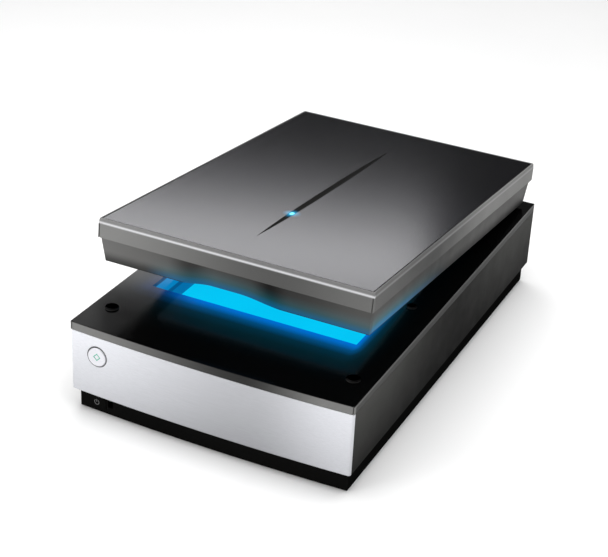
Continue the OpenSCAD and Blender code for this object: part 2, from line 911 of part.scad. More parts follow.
// long pointed outline of the light slit, widest in the middle
module slit_shape(length, width, zs) {
    steps = 24;
    edge = [for (i = [-steps : steps])
        let (t = i / steps)
        [width / 2 * slit_share(t), length / 2 * t]];
    back = [for (i = [steps - 1 : -1 : 1 - steps])
        let (t = i / steps)
        [-width / 2 * slit_share(t), length / 2 * t]];
    translate([slit_x, slit_y0 + slit_l / 2, zs[0]])
        linear_extrude(zs[1] - zs[0])
            polygon(concat(edge, back));
}

module lid_frame() {
    in_x = lid_x - rim_wall;
    lip = 6;
    lip_t = 1.5;
    panel_x = lid_x - panel_in;
    color([0.62, 0.62, 0.61])
    lid_pose()
        difference() {
            union() {
                block([-lid_x, lid_x], [lid_y0, lid_y1], [rim_z, lid_z1 - bevel_h]);
                leaning_box([-lid_x, lid_x], [-lid_x + bevel_in, lid_x - bevel_in],
                            [lid_y0, lid_y1], [lid_y0 + bevel_in, lid_y1 - bevel_in],
                            [lid_z1 - bevel_h - eps, lid_z1]);
            }
            block([-in_x, in_x], [lid_y0 + rim_wall, lid_y1 - rim_wall],
                  [rim_z - 1, lid_z1 - panel_t - lip_t]);
            block([-in_x + lip, in_x - lip], [lid_y0 + rim_wall + lip, lid_y1 - rim_wall - lip],
                  [rim_z - 1, lid_z1 + 1]);
            block([-panel_x, panel_x], [lid_y0 + panel_in, lid_y1 - panel_in],
                  [lid_z1 - panel_t, lid_z1 + 1]);
            for (side = [-1, 1])
                joint_line(side * (lid_x - 1.2), lid_y0, [rim_z - 1, lid_z1 - bevel_h]);
        }
}

module lid_top_panel() {
    side = lid_x - panel_in - groove;
    color([0.35, 0.35, 0.37])
    lid_pose()
        difference() {
            block([-side, side], [lid_y0 + panel_in + groove, lid_y1 - panel_in - groove],
                  [lid_z1 - panel_t, lid_z1 - panel_drop]);
            slit_shape(slit_l, slit_w, [lid_z1 - panel_t - 1, lid_z1 + 1]);
        }
}

module slit_light_shape(zs, d, l) {
    for (side = [-1, 1])
        bar_z(slit_x, slit_light_y + side * (l - d) / 2, zs, d);
    block([slit_x - d / 2, slit_x + d / 2], [slit_light_y - (l - d) / 2, slit_light_y + (l - d) / 2], zs);
}

module slit_insert() {
    color([0.05, 0.05, 0.06])
    lid_pose()
        difference() {
            union() {
                slit_shape(slit_l - 8, slit_w - 0.2, [lid_z1 - panel_t - 1, lid_z1 - slit_depth]);
                block([slit_x - 7, slit_x + 7], [slit_y0 - 4, slit_y0 + slit_l + 4],
                      [lid_z1 - panel_t - 1.5, lid_z1 - panel_t]);
            }
            slit_light_shape([lid_z1 - panel_t - 2, lid_z1], slit_light_d, 7);
        }
}

module slit_light() {
    color([0.2, 0.6, 1])
    lid_pose()
        slit_light_shape([lid_z1 - panel_t - 1.5, lid_z1 - slit_depth + 0.2], slit_light_d, 7);
}

// share of the scoop's height at a place across the lid, with smooth ends
function ease(t) = (1 - cos(180 * t)) / 2;
function scoop_share(x) =
    x < scoop_flat_left ? ease((x - scoop_left) / (scoop_flat_left - scoop_left)) :
    x > scoop_flat_right ? ease((scoop_right - x) / (scoop_right - scoop_flat_right)) : 1;

module finger_scoop() {
    steps = 40;
    curve = [for (i = [0 : steps])
        let (x = scoop_left + (scoop_right - scoop_left) * i / steps)
        [x, lid_z0 + scoop_h * scoop_share(x)]];
    below = [[scoop_right, lid_z0 - 1], [scoop_left, lid_z0 - 1]];
    profile_along_y(concat(curve, below), [lid_y0, lid_y0 + tray_front_in + scoop_depth]);
}

tray_x = lid_x - tray_side_in;
tray_y0 = lid_y0 + tray_front_in;
tray_y1 = lid_y1 - tray_rear_in;
mat_x0 = glass_shift - mat_w / 2;
mat_x1 = glass_shift + mat_w / 2;
glass_mid_y = (glass_y0 + glass_y1) / 2;
lid_screw_spots = [[-132, lid_y0 + 40], [132, lid_y0 + 40], [-132, lid_y1 - 90], [132, lid_y1 - 90]];
lid_screw_d = 2.6;
hook_xs = [mat_x0 + 6, mat_x1 - 6];
hook_ys = [glass_mid_y - 110, glass_mid_y + 90];
hook_travel = 36;
film_rod_xs = [-film_rod_x, film_rod_x];
film_rod_y0 = lid_y0 + 22;
film_rod_y1 = lid_y1 - 34;
film_post_l = 5;

module lid_tray() {
    top_x = lid_x - tray_top_in;
    top_y0 = lid_y0 + tray_top_in;
    top_y1 = lid_y1 - tray_top_in;
    color([0.45, 0.45, 0.44])
    lid_pose()
        difference() {
            union() {
                difference() {
                    leaning_box([-tray_x, tray_x], [-top_x, top_x], [tray_y0, tray_y1], [top_y0, top_y1],
                                [lid_z0, rim_z]);
                    leaning_box([-tray_x + wall, tray_x - wall], [-top_x + wall, top_x - wall],
                                [tray_y0 + wall, tray_y1 - wall], [top_y0 + wall, top_y1 - wall],
                                [lid_z0 + wall, rim_z + eps]);
                }
                block([scoop_left - 8, scoop_right + 8], [tray_y0 + 1.5, tray_y0 + grip_depth],
                      [lid_z0 + 1, lid_z0 + grip_h]);
                for (side = [-1, 1])
                    hinge_pocket(side, pocket_wall, lid_z0 + 1, tray_y1 - 0.5);
                for (x = film_rod_xs)
                    film_rod_posts(x);
            }
            finger_scoop();
            block([glass_shift - window_w / 2, glass_shift + window_w / 2],
                  [glass_mid_y - window_d / 2, glass_mid_y + window_d / 2], [lid_z0 - 1, lid_z0 + wall + 1]);
            for (side = [-1, 1])
                hinge_pocket(side, 0, lid_z0 - 1, lid_y1);
            for (x = hook_xs)
                for (y = hook_ys)
                    hook_slot(x, y);
            for (spot = lid_screw_spots)
                bar_z(spot[0], spot[1], [lid_z0 - 1, lid_z0 + wall + 1], lid_screw_d);
        }
}

// room around one hinge, open to the back and to below
module hinge_pocket(side, grow, z0, y1) {
    half = pocket_w / 2 + grow;
    block([side * hinge_x - half, side * hinge_x + half], [pocket_y - grow, y1], [z0, pocket_z + grow]);
}

module film_rod_posts(x) {
    for (y = [film_rod_y0, film_rod_y1 - film_post_l])
        difference() {
            block([x - 5, x + 5], [y, y + film_post_l], [lid_z0 + wall - eps, film_rod_z + 5]);
            bar_y(x, [y - 1, y + film_post_l + 1], film_rod_z, film_rod_d);
        }
}

// keyhole slot that lets one hook of the mat slide towards the front
module hook_slot(x, y) {
    block([x - 1.75, x + 1.75], [y - hook_travel - 5, y + 5], [lid_z0 - 1, lid_z0 + wall + 1]);
    block([x - 4, x + 4], [y - hook_travel - 9, y - hook_travel + 5], [lid_z0 - 1, lid_z0 + wall + 1]);
}

module lid_screws() {
    head_t = 1.2;
    color([0.12, 0.12, 0.12])
    lid_pose()
        for (spot = lid_screw_spots)
            translate([spot[0], spot[1], lid_z0 - head_t])
                rotate([180, 0, 0])
                    screw(6, head_t, lid_screw_d, wall - 0.5);
}

// ---------- film-scanning unit in the lid ----------

module document_mat() {
    color([0.96, 0.96, 0.95])
    lid_pose()
        union() {
            block([mat_x0, mat_x1], [glass_mid_y - mat_d / 2, glass_mid_y + mat_d / 2],
                  [mat_z, lid_z0 - fit_gap]);
            for (x = hook_xs)
                for (y = hook_ys) {
                    block([x - 1.5, x + 1.5], [y - 4, y + 4], [lid_z0 - 1, lid_z0 + wall + 1.5]);
                    block([x - 3, x + 3], [y - 4, y + 4], [lid_z0 + wall + 0.3, lid_z0 + wall + 1.5]);
                }
        }
}

module film_window() {
    color([0.9, 0.95, 0.97])
    lid_pose()
        block([glass_shift - window_w / 2, glass_shift + window_w / 2],
              [glass_mid_y - window_d / 2, glass_mid_y + window_d / 2], [lid_z0, lid_z0 + window_t]);
}

film_y0 = film_carriage_y - film_carriage_l / 2;
film_y1 = film_carriage_y + film_carriage_l / 2;

module film_carriage() {
    top = film_rod_z + 6;
    body_x = film_rod_x - 8;
    run_x = film_belt_x - film_pulley_r;
    color([0.1, 0.1, 0.1])
    lid_pose()
        difference() {
            union() {
                block([-body_x, body_x], [film_y0, film_y1], [film_carriage_z + 3, top]);
                for (x = film_rod_xs)
                    block([x - 8 - eps, x + 8 + eps], [film_y0, film_y1], [film_rod_z - 6, top]);
                block([film_rod_x + 7, run_x + 2.2], [film_carriage_y - 6, film_carriage_y + 6],
                      [film_belt_z - 3, film_belt_z + 7.5]);
            }
            for (x = film_rod_xs)
                bar_y(x, [film_y0 - 1, film_y1 + 1], film_rod_z, film_rod_d + 2 * running_gap);
            block([run_x - 1.2 - fit_gap, run_x + fit_gap], [film_y0, film_y1],
                  [film_belt_z - fit_gap, film_belt_z + 5 + fit_gap]);
        }
}

module film_lamp() {
    color([0.95, 0.97, 1])
    lid_pose()
        block([glass_shift - window_w / 2 + 4, glass_shift + window_w / 2 - 4], [film_y0 + 4, film_y1 - 4],
              [film_carriage_z, film_carriage_z + 3]);
}

module film_rods() {
    color([0.75, 0.76, 0.78])
    lid_pose()
        for (x = film_rod_xs)
            bar_y(x, [film_rod_y0, film_rod_y1], film_rod_z, film_rod_d);
}

module film_belt() {
    color([0.08, 0.08, 0.08])
    lid_pose()
        belt_loop(film_belt_x, film_pulley_y0, film_pulley_y1, film_belt_z, film_pulley_r, 5, 1.2);
}

module film_drive_pulley() {
    color([0.85, 0.85, 0.82])
    lid_pose()
        pulley(film_belt_x, film_pulley_y1, film_belt_z, film_pulley_r, 5,
               [film_belt_z - 2, film_belt_z + 12], 3);
}

module film_idler_pulley() {
    color([0.85, 0.85, 0.82])
    lid_pose()
        difference() {
            pulley(film_belt_x, film_pulley_y0, film_belt_z, film_pulley_r, 5,
                   [film_belt_z - 1, film_belt_z + 6], 5);
            bar_z(film_belt_x, film_pulley_y0, [film_belt_z - 3, film_belt_z + 9], 3 + 2 * running_gap);
        }
}

// motor above the pulley on a plate with a leg, and the idler's pin on its foot
module film_motor() {
    plate_z = film_belt_z + 8;
    color([0.6, 0.6, 0.62])
    lid_pose() {
        difference() {
            union() {
                bar_z(film_belt_x, film_pulley_y1, [plate_z + 1.5 - eps, plate_z + 18], 22);
                block([film_belt_x - 13, film_belt_x + 14.5], [film_pulley_y1 - 13, film_pulley_y1 + 13],
                      [plate_z, plate_z + 1.5]);
                block([film_belt_x + 13, film_belt_x + 14.5], [film_pulley_y1 - 13, film_pulley_y1 + 13],
                      [lid_z0 + wall, plate_z + 1]);
            }
            bar_z(film_belt_x, film_pulley_y1, [plate_z - 1, plate_z + 6], 3 + 2 * fit_gap);
        }
        union() {
            bar_z(film_belt_x, film_pulley_y0, [lid_z0 + wall, film_belt_z - 3], 12);
            bar_z(film_belt_x, film_pulley_y0, [lid_z0 + wall, film_belt_z + 8], 3);
        }
    }
}

// ---------- one line per sub-part ----------

lower_case();
feet();
top_frame();
side_panel_left();
side_panel_right();
front_panel();
rear_panel();
case_screws();
bumpers();
document_glass();
scale_strip();
white_reference();
button_ring();
start_button();
start_mark();
power_button();
button_switches();
guide_rod();
rod_clips();
side_rail();
carriage_housing();
carriage_cover();
carriage_bushes();
carriage_slider();
light_bars();
mirrors();
lens_wide();
lens_fine();
sensor_board();
drive_belt();
drive_pulley();
drive_motor();
motor_bracket();
idler_pulley();
idler_bracket();
main_board();
power_supply();
power_inlet();
usb_socket();
lid_socket();
transport_lock();
hinge_guides();
hinge_posts();
hinge_pins();
hinge_brackets();
lid_frame();
lid_top_panel();
slit_insert();
slit_light();
lid_tray();
lid_screws();
document_mat();
film_window();
film_carriage();
film_lamp();
film_rods();
film_belt();
film_drive_pulley();
film_idler_pulley();
film_motor();
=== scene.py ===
"""Flatbed photo scanner on a pale studio floor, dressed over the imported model."""

import json
import math

import bmesh
import bpy
from mathutils import Matrix, Vector


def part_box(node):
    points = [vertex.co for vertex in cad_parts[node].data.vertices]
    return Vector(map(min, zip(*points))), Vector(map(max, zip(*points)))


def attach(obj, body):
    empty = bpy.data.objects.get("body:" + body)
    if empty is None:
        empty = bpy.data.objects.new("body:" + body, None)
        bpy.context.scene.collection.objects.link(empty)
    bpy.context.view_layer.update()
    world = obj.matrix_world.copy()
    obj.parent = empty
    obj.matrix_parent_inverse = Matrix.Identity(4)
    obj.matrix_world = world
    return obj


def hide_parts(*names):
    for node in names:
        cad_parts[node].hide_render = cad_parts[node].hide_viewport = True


MM = 0.001
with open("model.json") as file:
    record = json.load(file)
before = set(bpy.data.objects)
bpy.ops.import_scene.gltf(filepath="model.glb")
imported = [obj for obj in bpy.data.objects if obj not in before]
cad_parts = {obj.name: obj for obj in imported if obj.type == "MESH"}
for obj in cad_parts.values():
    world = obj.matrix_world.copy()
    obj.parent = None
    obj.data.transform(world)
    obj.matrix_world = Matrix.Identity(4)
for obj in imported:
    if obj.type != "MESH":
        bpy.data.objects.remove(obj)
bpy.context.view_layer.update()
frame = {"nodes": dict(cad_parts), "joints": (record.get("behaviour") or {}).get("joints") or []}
NODES = frame["nodes"]


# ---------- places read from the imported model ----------

CASE_LOW, CASE_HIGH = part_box("top_frame")
TOP_Z = CASE_HIGH.z
GLASS_LOW, GLASS_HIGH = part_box("document_glass")
SCALE_LOW, SCALE_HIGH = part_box("scale_strip")
PANEL_LOW, PANEL_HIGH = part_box("front_panel")
TRAY_LOW, TRAY_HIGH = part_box("lid_tray")
BUTTON_LOW, BUTTON_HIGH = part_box("start_button")
MARK_LOW, MARK_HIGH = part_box("start_mark")
POWER_LOW, POWER_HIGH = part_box("power_button")


WHITE = (1.0, 1.0, 1.0)

# ---------- node graphs ----------


class Graph:
    """A material's node tree with one Principled shader and short helpers."""

    def __init__(self, name):
        self.material = bpy.data.materials.new(name)
        self.material.use_nodes = True
        self.tree = self.material.node_tree
        self.shader = self.tree.nodes["Principled BSDF"]
        self.coordinates = self.add("ShaderNodeTexCoord").outputs["Object"]

    def add(self, kind, **settings):
        """New node with its settings."""
        node = self.tree.nodes.new(kind)
        for key, value in settings.items():
            setattr(node, key, value)
        return node

    def join(self, source, target):
        """Links a socket, or sets a plain value, on a target socket."""
        if isinstance(source, bpy.types.NodeSocket):
            self.tree.links.new(source, target)
        else:
            target.default_value = source

    def set(self, **values):
        """Sets or links shader inputs; underscores stand for spaces."""
        for key, value in values.items():
            self.join(value, self.shader.inputs[key.replace("_", " ")])

    def stretched(self, scale):
        """Object coordinates scaled by a different amount along each axis."""
        mapping = self.add("ShaderNodeMapping")
        mapping.inputs["Scale"].default_value = scale
        self.join(self.coordinates, mapping.inputs["Vector"])
        return mapping.outputs["Vector"]

    def noise(self, scale, detail=3.0, roughness=0.5, stretch=None):
        """Soft cloudy pattern from 0 to 1."""
        node = self.add("ShaderNodeTexNoise")
        vector = self.stretched(stretch) if stretch else self.coordinates
        self.join(vector, node.inputs["Vector"])
        self.join(scale, node.inputs["Scale"])
        self.join(detail, node.inputs["Detail"])
        self.join(roughness, node.inputs["Roughness"])
        return node.outputs["Fac"]

    def patches(self, scale, detail, low, high):
        """Number that drifts between low and high in cloudy patches."""
        return self.span(self.noise(scale, detail), 0.3, 0.7, low, high)

    def flakes(self):
        """Fine metal flakes in a satin paint."""
        return self.noise(3800.0, 2.0, 0.6)

    def cells(self, scale):
        """Pebble pattern: distance to the nearest of many scattered points."""
        node = self.add("ShaderNodeTexVoronoi")
        self.join(self.coordinates, node.inputs["Vector"])
        self.join(scale, node.inputs["Scale"])
        return node.outputs["Distance"]

    def math(self, operation, a, b=0.0):
        """One sum on one or two numbers or sockets."""
        node = self.add("ShaderNodeMath", operation=operation)
        self.join(a, node.inputs[0])
        self.join(b, node.inputs[1])
        return node.outputs[0]

    def span(self, value, low, high, out_low=0.0, out_high=1.0, smooth=False):
        """Maps a value from one range to another and stops at the ends."""
        node = self.add("ShaderNodeMapRange", clamp=True)
        if smooth:
            node.interpolation_type = "SMOOTHSTEP"
        for socket, number in zip(node.inputs, (value, low, high, out_low, out_high)):
            self.join(number, socket)
        return node.outputs["Result"]

    def times(self, *values):
        """Product of several numbers."""
        product = values[0]
        for value in values[1:]:
            product = self.math("MULTIPLY", product, value)
        return product

    def dip(self, value, start, middle, end, floor, far=1.0):
        """1 at the start, floor at the middle and far at the end, joined smoothly."""
        first = self.span(value, start, middle, 1.0, floor, smooth=True)
        second = self.span(value, middle, end, 0.0, far - floor, smooth=True)
        return self.math("ADD", first, second)

    def bell(self, value, centre, reach):
        """1 at the centre, falling smoothly to 0 at the reach on both sides."""
        away = self.math("ABSOLUTE", self.math("SUBTRACT", value, centre))
        return self.span(away, 0.0, reach, 1.0, 0.0, smooth=True)

    def either(self, share, first, second):
        """Number between first at share 0 and second at share 1."""
        rest = self.math("SUBTRACT", 1.0, share)
        return self.math("ADD", self.times(share, second), self.times(rest, first))

    def dimmed(self, share, colour):
        """Colour scaled towards black by a share from 0 to 1."""
        return self.blend(share, (0.0, 0.0, 0.0), colour)

    def ramp(self, value, stops):
        """Colour by value, between stops of (value, colour) in rising order."""
        node = self.add("ShaderNodeValToRGB")
        elements = node.color_ramp.elements
        for element, (place, colour) in ((elements[0], stops[0]), (elements[1], stops[-1])):
            element.position = place
            element.color = (*colour, 1.0)
        for place, colour in stops[1:-1]:
            elements.new(place).color = (*colour, 1.0)
        self.join(value, node.inputs["Fac"])
        return node.outputs["Color"]

    def blend(self, share, first, second):
        """Colour between first at 0 and second at 1."""
        node = self.add("ShaderNodeMix", data_type="RGBA")
        self.join(share, node.inputs["Factor"])
        for value, index in ((first, 6), (second, 7)):
            if isinstance(value, tuple):
                value = (*value, 1.0)
            self.join(value, node.inputs[index])
        return node.outputs[2]

    def place(self):
        """X, Y and Z of the surface point in the object's own frame."""
        node = self.add("ShaderNodeSeparateXYZ")
        self.join(self.coordinates, node.inputs[0])
        return node.outputs[0], node.outputs[1], node.outputs[2]

    def bump(self, height, strength, distance):
        """Surface relief from a height pattern, with its depth in metres."""
        node = self.add("ShaderNodeBump")
        self.join(height, node.inputs["Height"])
        self.join(strength, node.inputs["Strength"])
        self.join(distance, node.inputs["Distance"])
        self.join(node.outputs["Normal"], self.shader.inputs["Normal"])


def shade(colour, factor):
    """Colour made lighter or darker by a factor."""
    return tuple(min(1.0, channel * factor) for channel in colour)


def moulded(name, colour, rough=0.5, grain=2600.0, depth=0.25, vary=0.12, sheen=0.5):
    """Moulded plastic: fine pebble grain, slight tone drift and dulled patches."""
    g = Graph(name)
    g.set(Specular_IOR_Level=sheen)
    drift = g.noise(9.0, 4.0)
    g.set(Base_Color=g.ramp(drift, [(0.3, shade(colour, 1 - vary)), (0.7, shade(colour, 1 + vary))]))
    g.set(Roughness=g.patches(60.0, 5.0, rough - 0.06, rough + 0.08))
    g.bump(g.cells(grain), depth, 0.00006)
    return g.material


def side_paint_and_painted_shade(name):
    """Satin dark paint with flakes, with painted shade: darker along the middle of the case and towards the
    table.
    """
    g = Graph(name)
    _, y, z = g.place()
    tone = g.ramp(g.flakes(), [(0.35, (0.070, 0.070, 0.066)), (0.65, (0.082, 0.082, 0.078))])
    # painted shade: darker along the middle of the case
    ends = g.dip(y, CASE_LOW.y + 40 * MM, 0.0, 200 * MM, floor=0.2, far=0.8)
    # painted shade: darker towards the table
    height = g.span(z, PANEL_LOW.z + 4 * MM, PANEL_HIGH.z, 0.22, 1.0)
    g.set(Base_Color=g.dimmed(g.times(ends, height), tone))
    g.set(Roughness=g.patches(45.0, 6.0, 0.41, 0.5))
    g.set(Specular_IOR_Level=0.01)
    g.bump(g.noise(900.0, 3.0), 0.08, 0.00005)
    return g.material


def brushed_graph(name, colour, along=0, rough=0.3, metallic=0.9):
    """Brushed metal's graph and tone: fine streaks along one axis."""
    g = Graph(name)
    stretch = [420.0, 420.0, 420.0]
    stretch[along] = 2.5
    streaks = g.noise(9.0, 6.0, 0.7, tuple(stretch))
    drift = g.noise(6.0, 3.0)
    tone = g.ramp(streaks, [(0.3, shade(colour, 0.86)), (0.7, shade(colour, 1.08))])
    tone = g.blend(g.span(drift, 0.3, 0.7, 0.0, 0.25), tone, shade(colour, 0.94))
    g.set(Metallic=metallic)
    g.set(Roughness=g.span(streaks, 0.2, 0.8, rough - 0.07, rough + 0.1))
    g.bump(streaks, 0.12, 0.00004)
    return g, tone


def brushed(name, colour, along=0, rough=0.3, metallic=0.9):
    """Evenly toned brushed metal."""
    g, tone = brushed_graph(name, colour, along, rough, metallic)
    g.set(Base_Color=tone)
    return g.material


def silver_face(name, colour):
    """Brushed silver front with painted light: brightest at its two ends and towards the top, with painted
    shade between.
    """
    g, tone = brushed_graph(name, colour, along=0, rough=0.36, metallic=0.5)
    x, _, z = g.place()
    # painted highlights at the two ends, painted shade in the middle
    ends = g.dip(x, PANEL_LOW.x, 50 * MM, PANEL_HIGH.x, floor=0.6)
    # painted shade towards the bottom
    height = g.span(z, PANEL_LOW.z, PANEL_HIGH.z, 0.72, 1.0)
    g.set(Base_Color=g.dimmed(g.times(ends, height), tone))
    return g.material


def ground_steel(name, colour, rough=0.22, along=1):
    """Ground steel rod or sheet with fine marks along its length."""
    return brushed(name, colour, along, rough, 1.0)


def soft_rubber(name, colour):
    """Matte rubber with a dusty bloom."""
    g = Graph(name)
    dust = g.span(g.noise(150.0, 6.0), 0.45, 0.75, 0.0, 0.35)
    g.set(Base_Color=g.blend(dust, colour, shade(colour, 2.2)))
    g.set(Roughness=g.patches(400.0, 3.0, 0.72, 0.9))
    g.bump(g.noise(1800.0, 3.0), 0.2, 0.0001)
    return g.material


def circuit_board(name, colour):
    """Solder mask with faint copper runs under it."""
    g = Graph(name)
    runs = g.span(g.cells(420.0), 0.28, 0.34, 0.0, 0.5)
    g.set(Base_Color=g.blend(runs, colour, shade(colour, 1.7)))
    g.set(Roughness=g.patches(200.0, 3.0, 0.28, 0.42))
    g.bump(g.cells(420.0), 0.15, 0.00008)
    return g.material


def glowing(name, colour, strength, rough=0.25):
    """Lit diffuser: glow with a slight cloudiness."""
    g = Graph(name)
    cloud = g.noise(70.0, 4.0)
    glow = g.ramp(cloud, [(0.3, shade(colour, 0.9)), (0.7, colour)])
    g.set(Base_Color=g.ramp(cloud, [(0.3, shade(colour, 0.25)), (0.7, shade(colour, 0.3))]))
    g.set(Emission_Color=glow, Emission_Strength=strength)
    g.set(Roughness=g.span(cloud, 0.3, 0.7, rough, rough + 0.1))
    return g.material


# painted glow colours of the glass: clear, and behind the printed strip
CYAN = (0.001, 0.58, 0.93)
MID_BLUE = (0.001, 0.212, 0.515)
# half width of a printed bar's soft edge
BAR_EDGE = 0.5 * MM
# printed bars: start and end past the strip's left edge, and their colour in the painted glow
BARS = [
    (-3 * MM, 2 * MM, (0.001, 0.038, 0.114)),
    (16.3 * MM, 21.3 * MM, (0.001, 0.076, 0.223)),
    (21.3 * MM, 32.5 * MM, (0.001, 0.15, 0.39)),
]
# painted glow on the bed: how far it reaches, how much shorter at the right, and colour by share of reach
BED_PAINTED_GLOW_REACH = 75 * MM
BED_PAINTED_GLOW_RIGHT_SQUEEZE = 2.3
BED_PAINTED_GLOW_STOPS = [
    (0.0, (0.0, 0.150, 0.66)),
    (0.08, (0.0, 0.125, 0.50)),
    (0.18, (0.0, 0.058, 0.18)),
    (0.32, (0.0, 0.015, 0.030)),
    (0.5, (0.0, 0.005, 0.007)),
    (0.75, (0.0, 0.001, 0.0015)),
    (1.0, (0.0, 0.0, 0.0)),
]


def glass_painted_glow(name):
    """Document glass with a painted glow standing for the lamp light from below, with the printed bars
    showing dark at the left.
    """
    g = Graph(name)
    x, _, _ = g.place()
    past_edge = g.math("SUBTRACT", x, SCALE_LOW.x)
    strip_end = SCALE_HIGH.x - SCALE_LOW.x - 2 * MM
    past_strip = g.span(past_edge, strip_end - 1.2 * MM, strip_end, 0, 1)
    colour = g.blend(past_strip, MID_BLUE, CYAN)
    for low, high, tone in BARS:
        rise = g.span(past_edge, low - BAR_EDGE, low + BAR_EDGE, 0, 1)
        fall = g.span(past_edge, high - BAR_EDGE, high + BAR_EDGE, 1, 0)
        colour = g.blend(g.times(rise, fall), colour, tone)
    colour = g.blend(g.patches(14.0, 4.0, 0.0, 0.1), colour, shade(MID_BLUE, 0.9))
    g.set(Base_Color=(0.002, 0.02, 0.03, 1.0), Specular_IOR_Level=0.01)
    g.set(Roughness=g.patches(80.0, 5.0, 0.03, 0.08))
    # painted glow: the glass emits this colour itself
    g.set(Emission_Color=colour, Emission_Strength=1.0)
    g.bump(g.noise(500.0), 0.01, 0.00002)
    return g.material


def painted_glow_on_bed(g, x, y):
    """Painted blue glow on the bed by distance from the glass, weaker at the bars and at the right's back.
    """
    beside = g.math("SUBTRACT", x, GLASS_HIGH.x)
    right_away = g.times(beside, BED_PAINTED_GLOW_RIGHT_SQUEEZE)
    dx = g.math("MAXIMUM", g.math("SUBTRACT", GLASS_LOW.x, x), right_away)
    dy = g.math("MAXIMUM", g.math("SUBTRACT", GLASS_LOW.y, y), g.math("SUBTRACT", y, GLASS_HIGH.y))
    dx = g.math("MAXIMUM", dx, 0.0)
    dy = g.math("MAXIMUM", dy, 0.0)
    distance = g.math("SQRT", g.math("ADD", g.times(dx, dx), g.times(dy, dy)))
    colour = g.ramp(g.span(distance, 0.0, BED_PAINTED_GLOW_REACH, 0, 1), BED_PAINTED_GLOW_STOPS)
    strength = g.span(x, GLASS_LOW.x, GLASS_LOW.x + 60 * MM, 0.1, 1.0, smooth=True)
    right_shelf = g.span(beside, -2 * MM, 6 * MM, 0, 1)
    lost_at_back = g.span(y, GLASS_LOW.y + 15 * MM, GLASS_LOW.y + 140 * MM, 0, 1, True)
    kept = g.math("SUBTRACT", 1.0, g.times(right_shelf, lost_at_back))
    return colour, g.times(strength, kept)


def case_top(name):
    """Glossy black bed with a satin edge band carrying painted highlights and painted shade, and a painted
    blue glow round the glass.
    """
    g = Graph(name)
    x, y, z = g.place()
    on_top = g.span(z, TOP_Z - 0.9 * MM, TOP_Z - 0.5 * MM, 0, 1)
    black = g.ramp(g.noise(6.0, 4.0), [(0.3, shade(WHITE, 0.0008)), (0.7, shade(WHITE, 0.0014))])
    front = g.span(y, PANEL_HIGH.y, PANEL_HIGH.y + 1.0 * MM, 1, 0)
    # painted light on the front of the band: bright at the ends, painted shade in the middle
    painted_light_front = g.dip(x, CASE_LOW.x, 40 * MM, CASE_HIGH.x, floor=0.14, far=1.2)
    front_tone = g.dimmed(painted_light_front, (0.2, 0.2, 0.195))
    # painted highlight line along the top of the band's sides, painted shade along their middle
    painted_top_highlight = g.span(z, TOP_Z - 3.4 * MM, TOP_Z - 2.0 * MM, 0, 1)
    side_tone = g.blend(painted_top_highlight, (0.05, 0.05, 0.048), (0.13, 0.13, 0.126))
    painted_shade_side = g.dip(y, CASE_LOW.y, 0.0, CASE_HIGH.y, floor=0.35, far=0.7)
    band = g.blend(front, g.dimmed(painted_shade_side, side_tone), front_tone)
    g.set(Base_Color=g.blend(on_top, band, black), Specular_IOR_Level=0.07)
    scuffs = g.span(g.noise(35.0, 8.0, 0.6), 0.45, 0.75, 0.0, 0.03)
    g.set(Roughness=g.math("ADD", g.span(on_top, 0, 1, 0.42, 0.12), scuffs))
    colour, strength = painted_glow_on_bed(g, x, y)
    # painted glow on the bed round the glass
    g.set(Emission_Color=colour, Emission_Strength=g.times(strength, on_top))
    g.bump(g.noise(700.0), 0.01, 0.00003)
    return g.material


def lid_up_axis():
    """Unit vector square to the leaning lid, from the film slide's direction."""
    joint = next(j for j in frame["joints"] if j["name"] == "film_travel")
    _, back, rise = joint["axis"]
    return Vector((0.0, -rise, back))


def lid_height(g):
    """Height of the surface point along the lid's own upright axis."""
    node = g.add("ShaderNodeVectorMath", operation="DOT_PRODUCT")
    g.join(g.coordinates, node.inputs[0])
    node.inputs[1].default_value = lid_up_axis()
    return node.outputs["Value"]


def heights_on_lid(node_name):
    """Lowest and highest point of a node along the lid's upright axis."""
    up = lid_up_axis()
    heights = [up.dot(v.co) for v in NODES[node_name].data.vertices]
    return min(heights), max(heights)


# painted glow on the tray's walls: how high it reaches, and its colour by share of that reach
TRAY_PAINTED_GLOW_REACH = 20 * MM
TRAY_PAINTED_GLOW = [
    (0.0, (0.0, 0.10, 0.24)),
    (0.2, (0.0, 0.085, 0.165)),
    (0.42, (0.0, 0.048, 0.062)),
    (0.7, (0.0, 0.016, 0.02)),
    (1.0, (0.0, 0.0, 0.0)),
]


# finger scoop in the tray's front edge: where it starts, is level and ends, and how high it rises
SCOOP_START, SCOOP_LEVEL, SCOOP_DOWN, SCOOP_END = -60 * MM, -22 * MM, 6 * MM, 54 * MM
SCOOP_RISE = 5.2 * MM


def tray_lift(g, x):
    """Height above the tray's underside, and above its edge that rises over the finger scoop."""
    low, _ = heights_on_lid("lid_tray")
    above_underside = g.math("SUBTRACT", lid_height(g), low)
    rise = g.span(x, SCOOP_START, SCOOP_LEVEL, 0, 1, smooth=True)
    fall = g.span(x, SCOOP_DOWN, SCOOP_END, 1, 0, smooth=True)
    above_edge = g.math("SUBTRACT", above_underside, g.times(rise, fall, SCOOP_RISE))
    return above_underside, above_edge


